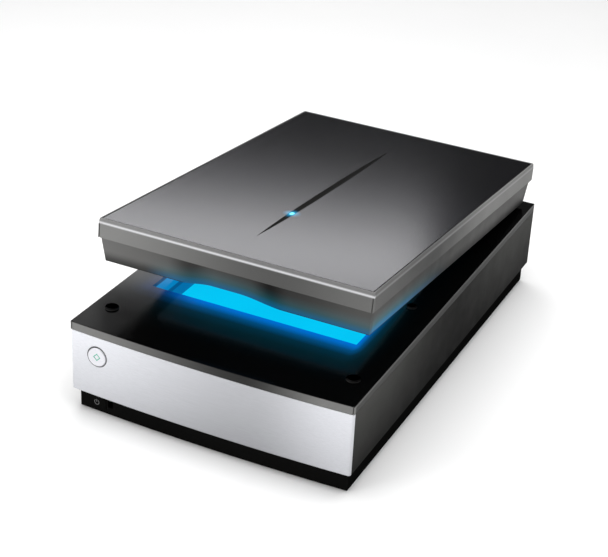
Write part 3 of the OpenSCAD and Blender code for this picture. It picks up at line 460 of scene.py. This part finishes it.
def tray_shell(name):
    """Grey moulded tray with painted shade: darker in the middle, beside the scoop and low down, with a
    painted cyan glow low down.
    """
    g = Graph(name)
    x, y, _ = g.place()
    above_underside, lift = tray_lift(g, x)
    wall_reach = 8 * MM
    in_right = TRAY_HIGH.x - wall_reach
    past_front = TRAY_LOW.y + wall_reach
    near_right = g.span(x, in_right - 1 * MM, in_right, 0, 1)
    on_side = g.times(near_right, g.span(y, past_front, past_front + 1 * MM, 0, 1))
    # painted shade: darker in the middle of the front, two painted shadows beside the scoop, and darker
    # along the middle of the side
    front = g.dip(x, TRAY_LOW.x, 55 * MM, TRAY_HIGH.x, floor=0.27, far=0.62)
    left_shadow = g.span(g.bell(x, -45 * MM, 30 * MM), 0, 1, 1.0, 0.42)
    right_shadow = g.span(g.bell(x, 41 * MM, 22 * MM), 0, 1, 1.0, 0.25)
    front = g.times(front, left_shadow, right_shadow)
    side = g.times(g.dip(y, -200 * MM, -60 * MM, 160 * MM, floor=0.5, far=1.2), 0.66)
    tone = g.either(on_side, front, side)
    # painted shade towards the lower edge
    painted_shade_low = g.span(lift, 0.0, 14 * MM, 0.3, 1.0, smooth=True)
    grain = g.ramp(g.noise(9.0, 4.0), [(0.3, (0.148, 0.147, 0.143)), (0.7, (0.164, 0.163, 0.159))])
    g.set(Base_Color=g.dimmed(g.times(tone, painted_shade_low), grain))
    g.set(Roughness=g.patches(60.0, 5.0, 0.42, 0.52), Specular_IOR_Level=0.05)
    # painted glow on the lower part of the walls
    colour = g.ramp(g.span(lift, 0.0, TRAY_PAINTED_GLOW_REACH, 0, 1), TRAY_PAINTED_GLOW)
    side_painted_glow = g.span(y, -200 * MM, 0.0, 1.6, 0.0, smooth=True)
    past_bars = g.span(x, -100 * MM, -60 * MM, 0, 1, smooth=True)
    not_at_back = g.span(y, -150 * MM, -50 * MM, 1, 0, smooth=True)
    front_painted_glow = g.times(past_bars, not_at_back)
    glow = g.either(on_side, front_painted_glow, side_painted_glow)
    walls_only = g.span(above_underside, 0.3 * MM, 1.0 * MM, 0, 1)
    g.set(Emission_Color=colour, Emission_Strength=g.times(glow, walls_only))
    g.bump(g.cells(2600.0), 0.1, 0.00005)
    return g.material


def lid_trim(name):
    """Lid rim with painted light: a painted highlight line under its sloping top edge, faces with painted
    shade in the middle.
    """
    g = Graph(name)
    x, y, _ = g.place()
    low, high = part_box("lid_frame")
    _, top = heights_on_lid("lid_frame")
    below_top = g.math("SUBTRACT", top, lid_height(g))
    on_front = g.span(y, low.y + 3.5 * MM, low.y + 5 * MM, 1, 0)
    # painted light on the faces: brighter at the ends, painted shade in the middle
    front = g.dip(x, low.x, 50 * MM, high.x, floor=0.42, far=0.68)
    side = g.times(g.dip(y, -210 * MM, -70 * MM, 160 * MM, floor=0.42, far=2.1), 0.56)
    tone = g.either(on_front, side, front)
    grain = g.ramp(g.flakes(), [(0.35, (0.210, 0.210, 0.205)), (0.65, (0.235, 0.235, 0.230))])
    face = g.dimmed(tone, grain)
    # painted highlight line under the top edge, and a painted tone on the sloping face
    line = g.times(g.bell(below_top, 4.3 * MM, 1.9 * MM), g.span(on_front, 0, 1, 0.25, 0.95))
    sloping = g.times(g.span(below_top, 3.2 * MM, 3.8 * MM, 1, 0), g.span(on_front, 0, 1, 0.35, 0.7))
    face = g.blend(sloping, face, (0.22, 0.22, 0.22))
    g.set(Base_Color=g.blend(line, face, (0.66, 0.66, 0.68)))
    g.set(Roughness=g.patches(45.0, 6.0, 0.36, 0.44))
    g.set(Specular_IOR_Level=0.05)
    g.bump(g.noise(900.0, 3.0), 0.04, 0.00004)
    return g.material


def dark_satin(name):
    """Lid's dark satin paint with fine metal flakes, painted shade towards the back and a painted blue glow
    round the small light.
    """
    g = Graph(name)
    flakes = g.noise(2600.0, 1.0, 0.5)
    tone = g.ramp(flakes, [(0.4, (0.0085, 0.0085, 0.0100)), (0.62, (0.015, 0.015, 0.018))])
    _, y, _ = g.place()
    # painted shade towards the back
    painted_shade_back = g.span(y, -50 * MM, 150 * MM, 1.0, 0.3, smooth=True)
    g.set(Base_Color=g.dimmed(painted_shade_back, tone))
    g.set(Roughness=g.span(flakes, 0.35, 0.65, 0.215, 0.25), Specular_IOR_Level=0.5)
    g.set(Specular_Tint=(0.86, 0.85, 0.96, 1.0))
    painted_glow_round_light(g, 13 * MM, 0.5)
    return g.material


def painted_glow_round_light(g, reach, strength):
    """Painted glow that fades with the distance from the lid's small light."""
    low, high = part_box("slit_light")
    centre = (low + high) / 2
    node = g.add("ShaderNodeVectorMath", operation="DISTANCE")
    g.join(g.coordinates, node.inputs[0])
    node.inputs[1].default_value = centre
    fade = g.span(node.outputs["Value"], 2 * MM, reach, 1, 0, smooth=True)
    # painted glow: the surface emits by its distance from the small light
    g.set(Emission_Color=(0.02, 0.50, 0.95, 1.0), Emission_Strength=g.times(fade, fade, strength))


def slit_plastic(name):
    """Smoked insert of the lid's slit, with a painted glow around the small light."""
    g = Graph(name)
    cloud = g.noise(60.0, 4.0)
    g.set(Base_Color=g.ramp(cloud, [(0.3, (0.004, 0.004, 0.004)), (0.7, (0.007, 0.007, 0.0065))]))
    g.set(Roughness=g.span(cloud, 0.3, 0.7, 0.5, 0.6), Specular_IOR_Level=0.02)
    painted_glow_round_light(g, 15 * MM, 0.8)
    g.bump(g.cells(2600.0), 0.08, 0.00004)
    return g.material


# ---------- mesh pieces ----------


def mesh_object(name, build, smooth=True):
    """Object from a function that fills a bmesh."""
    mesh = bpy.data.meshes.new(name)
    bm = bmesh.new()
    build(bm)
    bmesh.ops.recalc_face_normals(bm, faces=bm.faces)
    bm.to_mesh(mesh)
    bm.free()
    for polygon in mesh.polygons:
        polygon.use_smooth = smooth
    obj = bpy.data.objects.new(name, mesh)
    bpy.context.scene.collection.objects.link(obj)
    return obj


def lathe(bm, profile, matrix, steps=64):
    """Closed turned solid: profile is (radius, height) pairs from axis to axis."""
    rings = []
    for radius, height in profile:
        if radius < 1e-7:
            rings.append([bm.verts.new(matrix @ Vector((0, 0, height)))])
            continue
        ring = []
        for i in range(steps):
            angle = 2 * math.pi * i / steps
            point = Vector((radius * math.cos(angle), radius * math.sin(angle), height))
            ring.append(bm.verts.new(matrix @ point))
        rings.append(ring)
    for first, second in zip(rings, rings[1:]):
        for i in range(steps):
            j = (i + 1) % steps
            corners = []
            for ring, index in ((first, i), (first, j), (second, j), (second, i)):
                vert = ring[index % len(ring)]
                if vert not in corners:
                    corners.append(vert)
            if len(corners) > 2:
                bm.faces.new(corners)


def slab_from_outline(bm, outline, back, front):
    """Closed solid between two copies of an outline in X and Z, along Y."""
    near = [bm.verts.new((x, front, z)) for x, z in outline]
    far = [bm.verts.new((x, back, z)) for x, z in outline]
    bm.faces.new(near)
    bm.faces.new(list(reversed(far)))
    count = len(outline)
    for i in range(count):
        j = (i + 1) % count
        bm.faces.new((near[i], far[i], far[j], near[j]))


def band_from_outlines(bm, outer, inner, back, front, closed=True):
    """Flat frame between an outer and an inner outline, with thickness along Y."""
    loops = []
    for outline in (outer, inner):
        for y in (front, back):
            loops.append([bm.verts.new((x, y, z)) for x, z in outline])
    outer_front, outer_back, inner_front, inner_back = loops
    count = len(outer)
    last = count if closed else count - 1
    for i in range(last):
        j = (i + 1) % count
        bm.faces.new((outer_front[i], outer_front[j], inner_front[j], inner_front[i]))
        bm.faces.new((outer_back[j], outer_back[i], inner_back[i], inner_back[j]))
        bm.faces.new((outer_front[j], outer_front[i], outer_back[i], outer_back[j]))
        bm.faces.new((inner_front[i], inner_front[j], inner_back[j], inner_back[i]))
    if not closed:
        for i in (0, last):
            bm.faces.new((outer_front[i], inner_front[i], inner_back[i], outer_back[i]))


def arc_points(centre, radius, start, end, steps):
    """Points of an arc in X and Z, with angles in degrees from +X."""
    points = []
    for i in range(steps + 1):
        angle = math.radians(start + (end - start) * i / steps)
        points.append((centre[0] + radius * math.cos(angle), centre[1] + radius * math.sin(angle)))
    return points


def paint(obj, material):
    """Gives an object one material."""
    obj.data.materials.clear()
    obj.data.materials.append(material)


def dress(names, material, bevel=0.0, segments=2):
    """Gives CAD nodes a material and, where asked, softened edges."""
    for name in names:
        obj = NODES[name]
        paint(obj, material)
        if bevel:
            edge = obj.modifiers.new("soft_edges", "BEVEL")
            edge.width = bevel
            edge.segments = segments
            edge.limit_method = "ANGLE"
            edge.angle_limit = math.radians(35)


# ---------- buttons ----------


def facing_front(point):
    """Matrix that puts a lathe's axis along -Y at a point."""
    return Matrix.Translation(point) @ Matrix.Rotation(math.radians(90), 4, "X")


def start_button(material):
    """Round cap with a shallow dished face and a rolled rim."""
    centre = (BUTTON_LOW + BUTTON_HIGH) / 2
    radius = (BUTTON_HIGH.x - BUTTON_LOW.x) / 2
    depth = BUTTON_HIGH.y - BUTTON_LOW.y
    # from the middle of the dished face, over the rolled rim, to the back
    profile = [
        (0.0, depth - 0.5 * MM),
        (radius * 0.55, depth - 0.42 * MM),
        (radius * 0.84, depth - 0.2 * MM),
        (radius * 0.93, depth - 0.08 * MM),
        (radius * 0.975, depth - 0.3 * MM),
        (radius, depth - 0.9 * MM),
        (radius, depth * 0.3),
        (radius * 0.9, 0.0),
        (0.0, 0.0),
    ]
    matrix = facing_front(Vector((centre.x, BUTTON_HIGH.y, centre.z)))
    cap = mesh_object("start_cap", lambda bm: lathe(bm, profile, matrix))
    paint(cap, material)
    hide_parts("start_button")
    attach(cap, "start_key")


def diamond(half):
    """Corners of an upright diamond round the origin, in X and Z."""
    return [(half, 0.0), (0.0, half), (-half, 0.0), (0.0, -half)]


def start_glyph(material):
    """Small plain diamond outline set in the button's face."""
    centre = (MARK_LOW + MARK_HIGH) / 2
    outer = [(centre.x + x, centre.z + z) for x, z in diamond(4.2 * MM)]
    inner = [(centre.x + x, centre.z + z) for x, z in diamond(2.9 * MM)]
    front = BUTTON_LOW.y + 0.38 * MM
    glyph = mesh_object(
        "start_glyph",
        lambda bm: band_from_outlines(bm, outer, inner, front + 0.5 * MM, front),
        smooth=False,
    )
    paint(glyph, material)
    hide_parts("start_mark")
    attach(glyph, "start_key")


def face_of_power_button(x):
    """Depth of the button's turned front face at a sideways position."""
    middle = (POWER_LOW.x + POWER_HIGH.x) / 2
    points = [vert.co for vert in NODES["power_button"].data.vertices]
    left = min(point.y for point in points if point.x < middle)
    right = min(point.y for point in points if point.x > middle)
    share = (x - POWER_LOW.x) / (POWER_HIGH.x - POWER_LOW.x)
    return left + (right - left) * share


def power_glyph(material):
    """Generic standby sign: an open ring and a short bar, laid on the turned face."""
    x = POWER_LOW.x + 16.5 * MM
    z = (POWER_LOW.z + POWER_HIGH.z) / 2 - 2.5 * MM
    proud = 0.1 * MM
    sunk = 0.3 * MM
    bar_half = 0.32 * MM
    bar_low = z + 0.2 * MM
    bar_high = z + 3.4 * MM
    outer = arc_points((x, z), 3.0 * MM, 125, 415, 40)
    inner = arc_points((x, z), 2.4 * MM, 125, 415, 40)
    low_end = [(x - bar_half, bar_low), (x + bar_half, bar_low)]
    high_end = [(x + bar_half, bar_high), (x - bar_half, bar_high)]

    def build(bm):
        band_from_outlines(bm, outer, inner, sunk, -proud, closed=False)
        slab_from_outline(bm, low_end + high_end, sunk, -proud)
        for vert in bm.verts:
            vert.co.y += face_of_power_button(vert.co.x)

    glyph = mesh_object("standby_sign", build, smooth=False)
    paint(glyph, material)
    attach(glyph, "power_key")


def loose_boxes(node_name):
    """Low and high corner of every separate solid in a CAD node."""
    bm = bmesh.new()
    bm.from_mesh(NODES[node_name].data)
    left = set(bm.verts)
    boxes = []
    while left:
        group = [left.pop()]
        for vert in group:
            for edge in vert.link_edges:
                other = edge.other_vert(vert)
                if other in left:
                    left.remove(other)
                    group.append(other)
        corners = [[pick(v.co[i] for v in group) for i in range(3)] for pick in (min, max)]
        boxes.append((Vector(corners[0]), Vector(corners[1])))
    bm.free()
    return sorted(boxes, key=lambda box: tuple(box[0]))


def rubber_discs(node, name, material, profile):
    """Turned rubber pads in place of plain cylinders; profile is in shares of radius and height."""

    def build(bm):
        for low, high in loose_boxes(node):
            radius = (high.x - low.x) / 2
            tall = high.z - low.z
            place = Matrix.Translation(((low.x + high.x) / 2, (low.y + high.y) / 2, low.z))
            lathe(bm, [(r * radius, z * tall) for r, z in profile], place)

    discs = mesh_object(name, build)
    paint(discs, material)
    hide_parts(node)
    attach(discs, "base")


# profiles from the axis out and back: (share of the radius, share of the height)
PAD_SIDE = [(0, 0), (1, 0), (1, 0.5), (0.985, 0.68), (0.93, 0.84), (0.86, 0.94)]
PAD_TOP = [(0.8, 1), (0.76, 1), (0.7, 1), (0, 1)]
FOOT = [(0, 0.06), (0.7, 0), (0.86, 0.04), (0.96, 0.18), (1, 0.4), (1, 1), (0, 1)]


# ---------- finishes ----------

silver_front = silver_face("silver_front", (0.76, 0.77, 0.81))
gunmetal = side_paint_and_painted_shade("gunmetal_skin")
plinth = moulded("plinth_black", (0.0055, 0.0055, 0.0053), 0.5, sheen=0.0)
inner_black = moulded("inner_black", (0.006, 0.006, 0.006), 0.65)
rubber = soft_rubber("rubber_black", (0.03, 0.03, 0.03))
steel = ground_steel("steel_bright", (0.55, 0.56, 0.58))
sheet_steel = ground_steel("steel_sheet", (0.42, 0.43, 0.44), 0.35, 0)
black_oxide = ground_steel("screw_black", (0.05, 0.05, 0.05), 0.35, 0)
bronze = ground_steel("brass_bush", (0.55, 0.38, 0.16), 0.35, 0)
nylon = moulded("nylon_white", (0.62, 0.62, 0.57), 0.45, 1800.0, 0.1, 0.05)
mat_white = moulded("white_film", (0.80, 0.80, 0.79), 0.55, 3000.0, 0.12, 0.03)
button_silver = brushed("button_silver", (0.72, 0.72, 0.76), along=0, rough=0.34, metallic=0.5)
ring_dark = moulded("ring_dark", (0.035, 0.035, 0.038), 0.3, 3200.0, 0.08)
mark_green = glowing("mark_green", (0.05, 0.52, 0.33), 0.55)
sign_grey = moulded("sign_grey", (0.14, 0.14, 0.14), 0.45, 3200.0, 0.08, 0.04)
board_green = circuit_board("circuit_green", (0.012, 0.09, 0.04))
board_brown = circuit_board("circuit_brown", (0.10, 0.055, 0.025))
print_dark = moulded("print_dark", (0.004, 0.02, 0.05), 0.5)
mirror_glass = brushed("mirror", (0.8, 0.82, 0.85), 0, 0.03, 1.0)
lens_black = moulded("lens_black", (0.012, 0.012, 0.02), 0.2)
belt_black = soft_rubber("belt_black", (0.02, 0.02, 0.02))
light_cyan = glowing("light_cyan", (0.0, 0.55, 0.95), 1.0)
light_blue = glowing("light_blue", (0.12, 0.85, 1.0), 1.3)
milk_glass = glowing("milk_glass", (0.75, 0.78, 0.8), 0.04, 0.3)
lock_grey = moulded("tray_grey", (0.14, 0.14, 0.135), 0.5)
bumper_rubber = moulded("bumper_rubber", (0.032, 0.032, 0.032), 0.4, depth=0.05, sheen=0.1)

dress(["top_frame"], case_top("gloss_black"), 0.35 * MM)
dress(["side_panel_left", "side_panel_right"], gunmetal, 0.4 * MM)
dress(["front_panel"], silver_front, 0.3 * MM)
dress(["lower_case", "rear_panel", "power_button", "hinge_posts"], plinth, 0.4 * MM)
dress(["rod_clips", "side_rail", "carriage_housing", "carriage_cover", "power_inlet"], inner_black, 0.3 * MM)
dress(["lid_socket", "hinge_guides", "film_carriage"], inner_black, 0.3 * MM)
dress(["document_glass"], glass_painted_glow("clear_glass"), 0.3 * MM)
dress(["scale_strip"], print_dark)
dress(["white_reference"], mat_white)
dress(["document_mat"], mat_white, 0.6 * MM, 3)
dress(["button_ring"], ring_dark, 0.3 * MM)
dress(["button_switches", "main_board", "sensor_board"], board_green)
dress(["power_supply"], board_brown)
dress(["guide_rod", "hinge_pins", "film_rods", "usb_socket"], steel, 0.3 * MM)
dress(["drive_motor", "film_motor"], sheet_steel, 0.2 * MM)
dress(["motor_bracket", "idler_bracket", "hinge_brackets"], sheet_steel, 0.2 * MM)
dress(["case_screws", "lid_screws"], black_oxide, 0.15 * MM)
dress(["carriage_bushes"], bronze, 0.3 * MM)
dress(["carriage_slider", "drive_pulley", "idler_pulley"], nylon, 0.2 * MM)
dress(["film_drive_pulley", "film_idler_pulley"], nylon, 0.2 * MM)
dress(["light_bars", "film_lamp"], light_cyan, 0.4 * MM)
dress(["mirrors"], mirror_glass)
dress(["lens_wide", "lens_fine"], lens_black, 0.2 * MM)
dress(["drive_belt", "film_belt"], belt_black)
dress(["transport_lock"], lock_grey, 0.3 * MM)
dress(["lid_frame"], lid_trim("lid_rim"), 0.25 * MM, 2)
dress(["lid_top_panel"], dark_satin("lid_panel"), 0.2 * MM)
dress(["slit_insert"], slit_plastic("slit_black"))
dress(["slit_light"], light_blue)
dress(["lid_tray"], tray_shell("tray_grey_with_painted_light"), 0.6 * MM, 3)
dress(["film_window"], milk_glass)

start_button(button_silver)
start_glyph(mark_green)
power_glyph(sign_grey)
rubber_discs("bumpers", "bumper_pads", bumper_rubber, PAD_SIDE + PAD_TOP)
rubber_discs("feet", "foot_pads", rubber, FOOT)


# ---------- studio ----------


def studio_floor():
    """Large pale sheet under the object."""

    def build(bm):
        bmesh.ops.create_grid(bm, x_segments=8, y_segments=8, size=6.0)

    floor = mesh_object("studio_floor", build)
    g = Graph("studio_floor")
    g.set(Base_Color=g.ramp(g.noise(3.0, 2.0), [(0.3, (0.92, 0.92, 0.92)), (0.7, (0.94, 0.94, 0.94))]))
    g.set(Roughness=g.patches(40.0, 3.0, 0.7, 0.8))
    paint(floor, g.material)


def softbox(name, place, target, size, power):
    """White rectangular area light at a place, facing a target."""
    light = bpy.data.lights.new(name, "AREA")
    light.shape = "RECTANGLE"
    light.size, light.size_y = size
    light.energy = power
    obj = bpy.data.objects.new(name, light)
    obj.location = place
    direction = Vector(target) - Vector(place)
    obj.rotation_euler = direction.to_track_quat("-Z", "Y").to_euler()
    bpy.context.scene.collection.objects.link(obj)


def studio_world(strength_low, strength_high):
    """Soft white sky: one strength near the horizon and below it, another overhead."""
    world = bpy.data.worlds.new("studio")
    world.use_nodes = True
    tree = world.node_tree
    background = tree.nodes["Background"]
    coordinates = tree.nodes.new("ShaderNodeTexCoord")
    parts = tree.nodes.new("ShaderNodeSeparateXYZ")
    ramp = tree.nodes.new("ShaderNodeMapRange")
    tree.links.new(coordinates.outputs["Generated"], parts.inputs[0])
    tree.links.new(parts.outputs[2], ramp.inputs[0])
    rise_starts, rise_ends = 0.3, 0.6
    for socket, number in zip(ramp.inputs[1:5], (rise_starts, rise_ends, strength_low, strength_high)):
        socket.default_value = number
    tree.links.new(ramp.outputs[0], background.inputs["Strength"])
    background.inputs["Color"].default_value = (1.0, 1.0, 1.0, 1.0)
    bpy.context.scene.world = world


LENS_MM = 93.28
CAMERA_PLACE = (0.61515, -1.37184, 0.88046)
# turns in radians: round the upright axis, up from straight down, and about the view's own axis
CAMERA_PAN, CAMERA_TILT, CAMERA_ROLL = 0.4338, 1.0784, 0.0526


def camera():
    """Camera at the photograph's place: above the front-right corner, looking down to the back left."""
    data = bpy.data.cameras.new("camera")
    data.sensor_width = 36.0
    data.lens = LENS_MM
    obj = bpy.data.objects.new("camera", data)
    pan = Matrix.Rotation(CAMERA_PAN, 4, "Z")
    tilt = Matrix.Rotation(CAMERA_TILT, 4, "X")
    roll = Matrix.Rotation(CAMERA_ROLL, 4, "Z")
    obj.matrix_world = Matrix.Translation(CAMERA_PLACE) @ pan @ tilt @ roll
    data.clip_end = 50.0
    bpy.context.scene.collection.objects.link(obj)
    bpy.context.scene.camera = obj


studio_floor()
studio_world(0.02, 0.42)
softbox("overhead", (0.2, -0.1, 2.6), (0.1, -0.1, 0.0), (2.8, 2.8), 82)
softbox("rear_strip", (-0.38, 0.6, 0.475), (0.0, -0.15, 0.15), (0.58, 0.09), 0.95)
softbox("left_panel", (-0.87, 0.6, 0.7), (0.0, -0.15, 0.1), (0.32, 0.2), 0.34)
softbox("front_key", (-1.0, -1.5, 0.5), (-0.12, -0.25, 0.08), (0.8, 0.6), 11.6)
camera()
bpy.context.scene.view_settings.view_transform = "Standard"
bpy.context.scene.view_settings.look = "None"
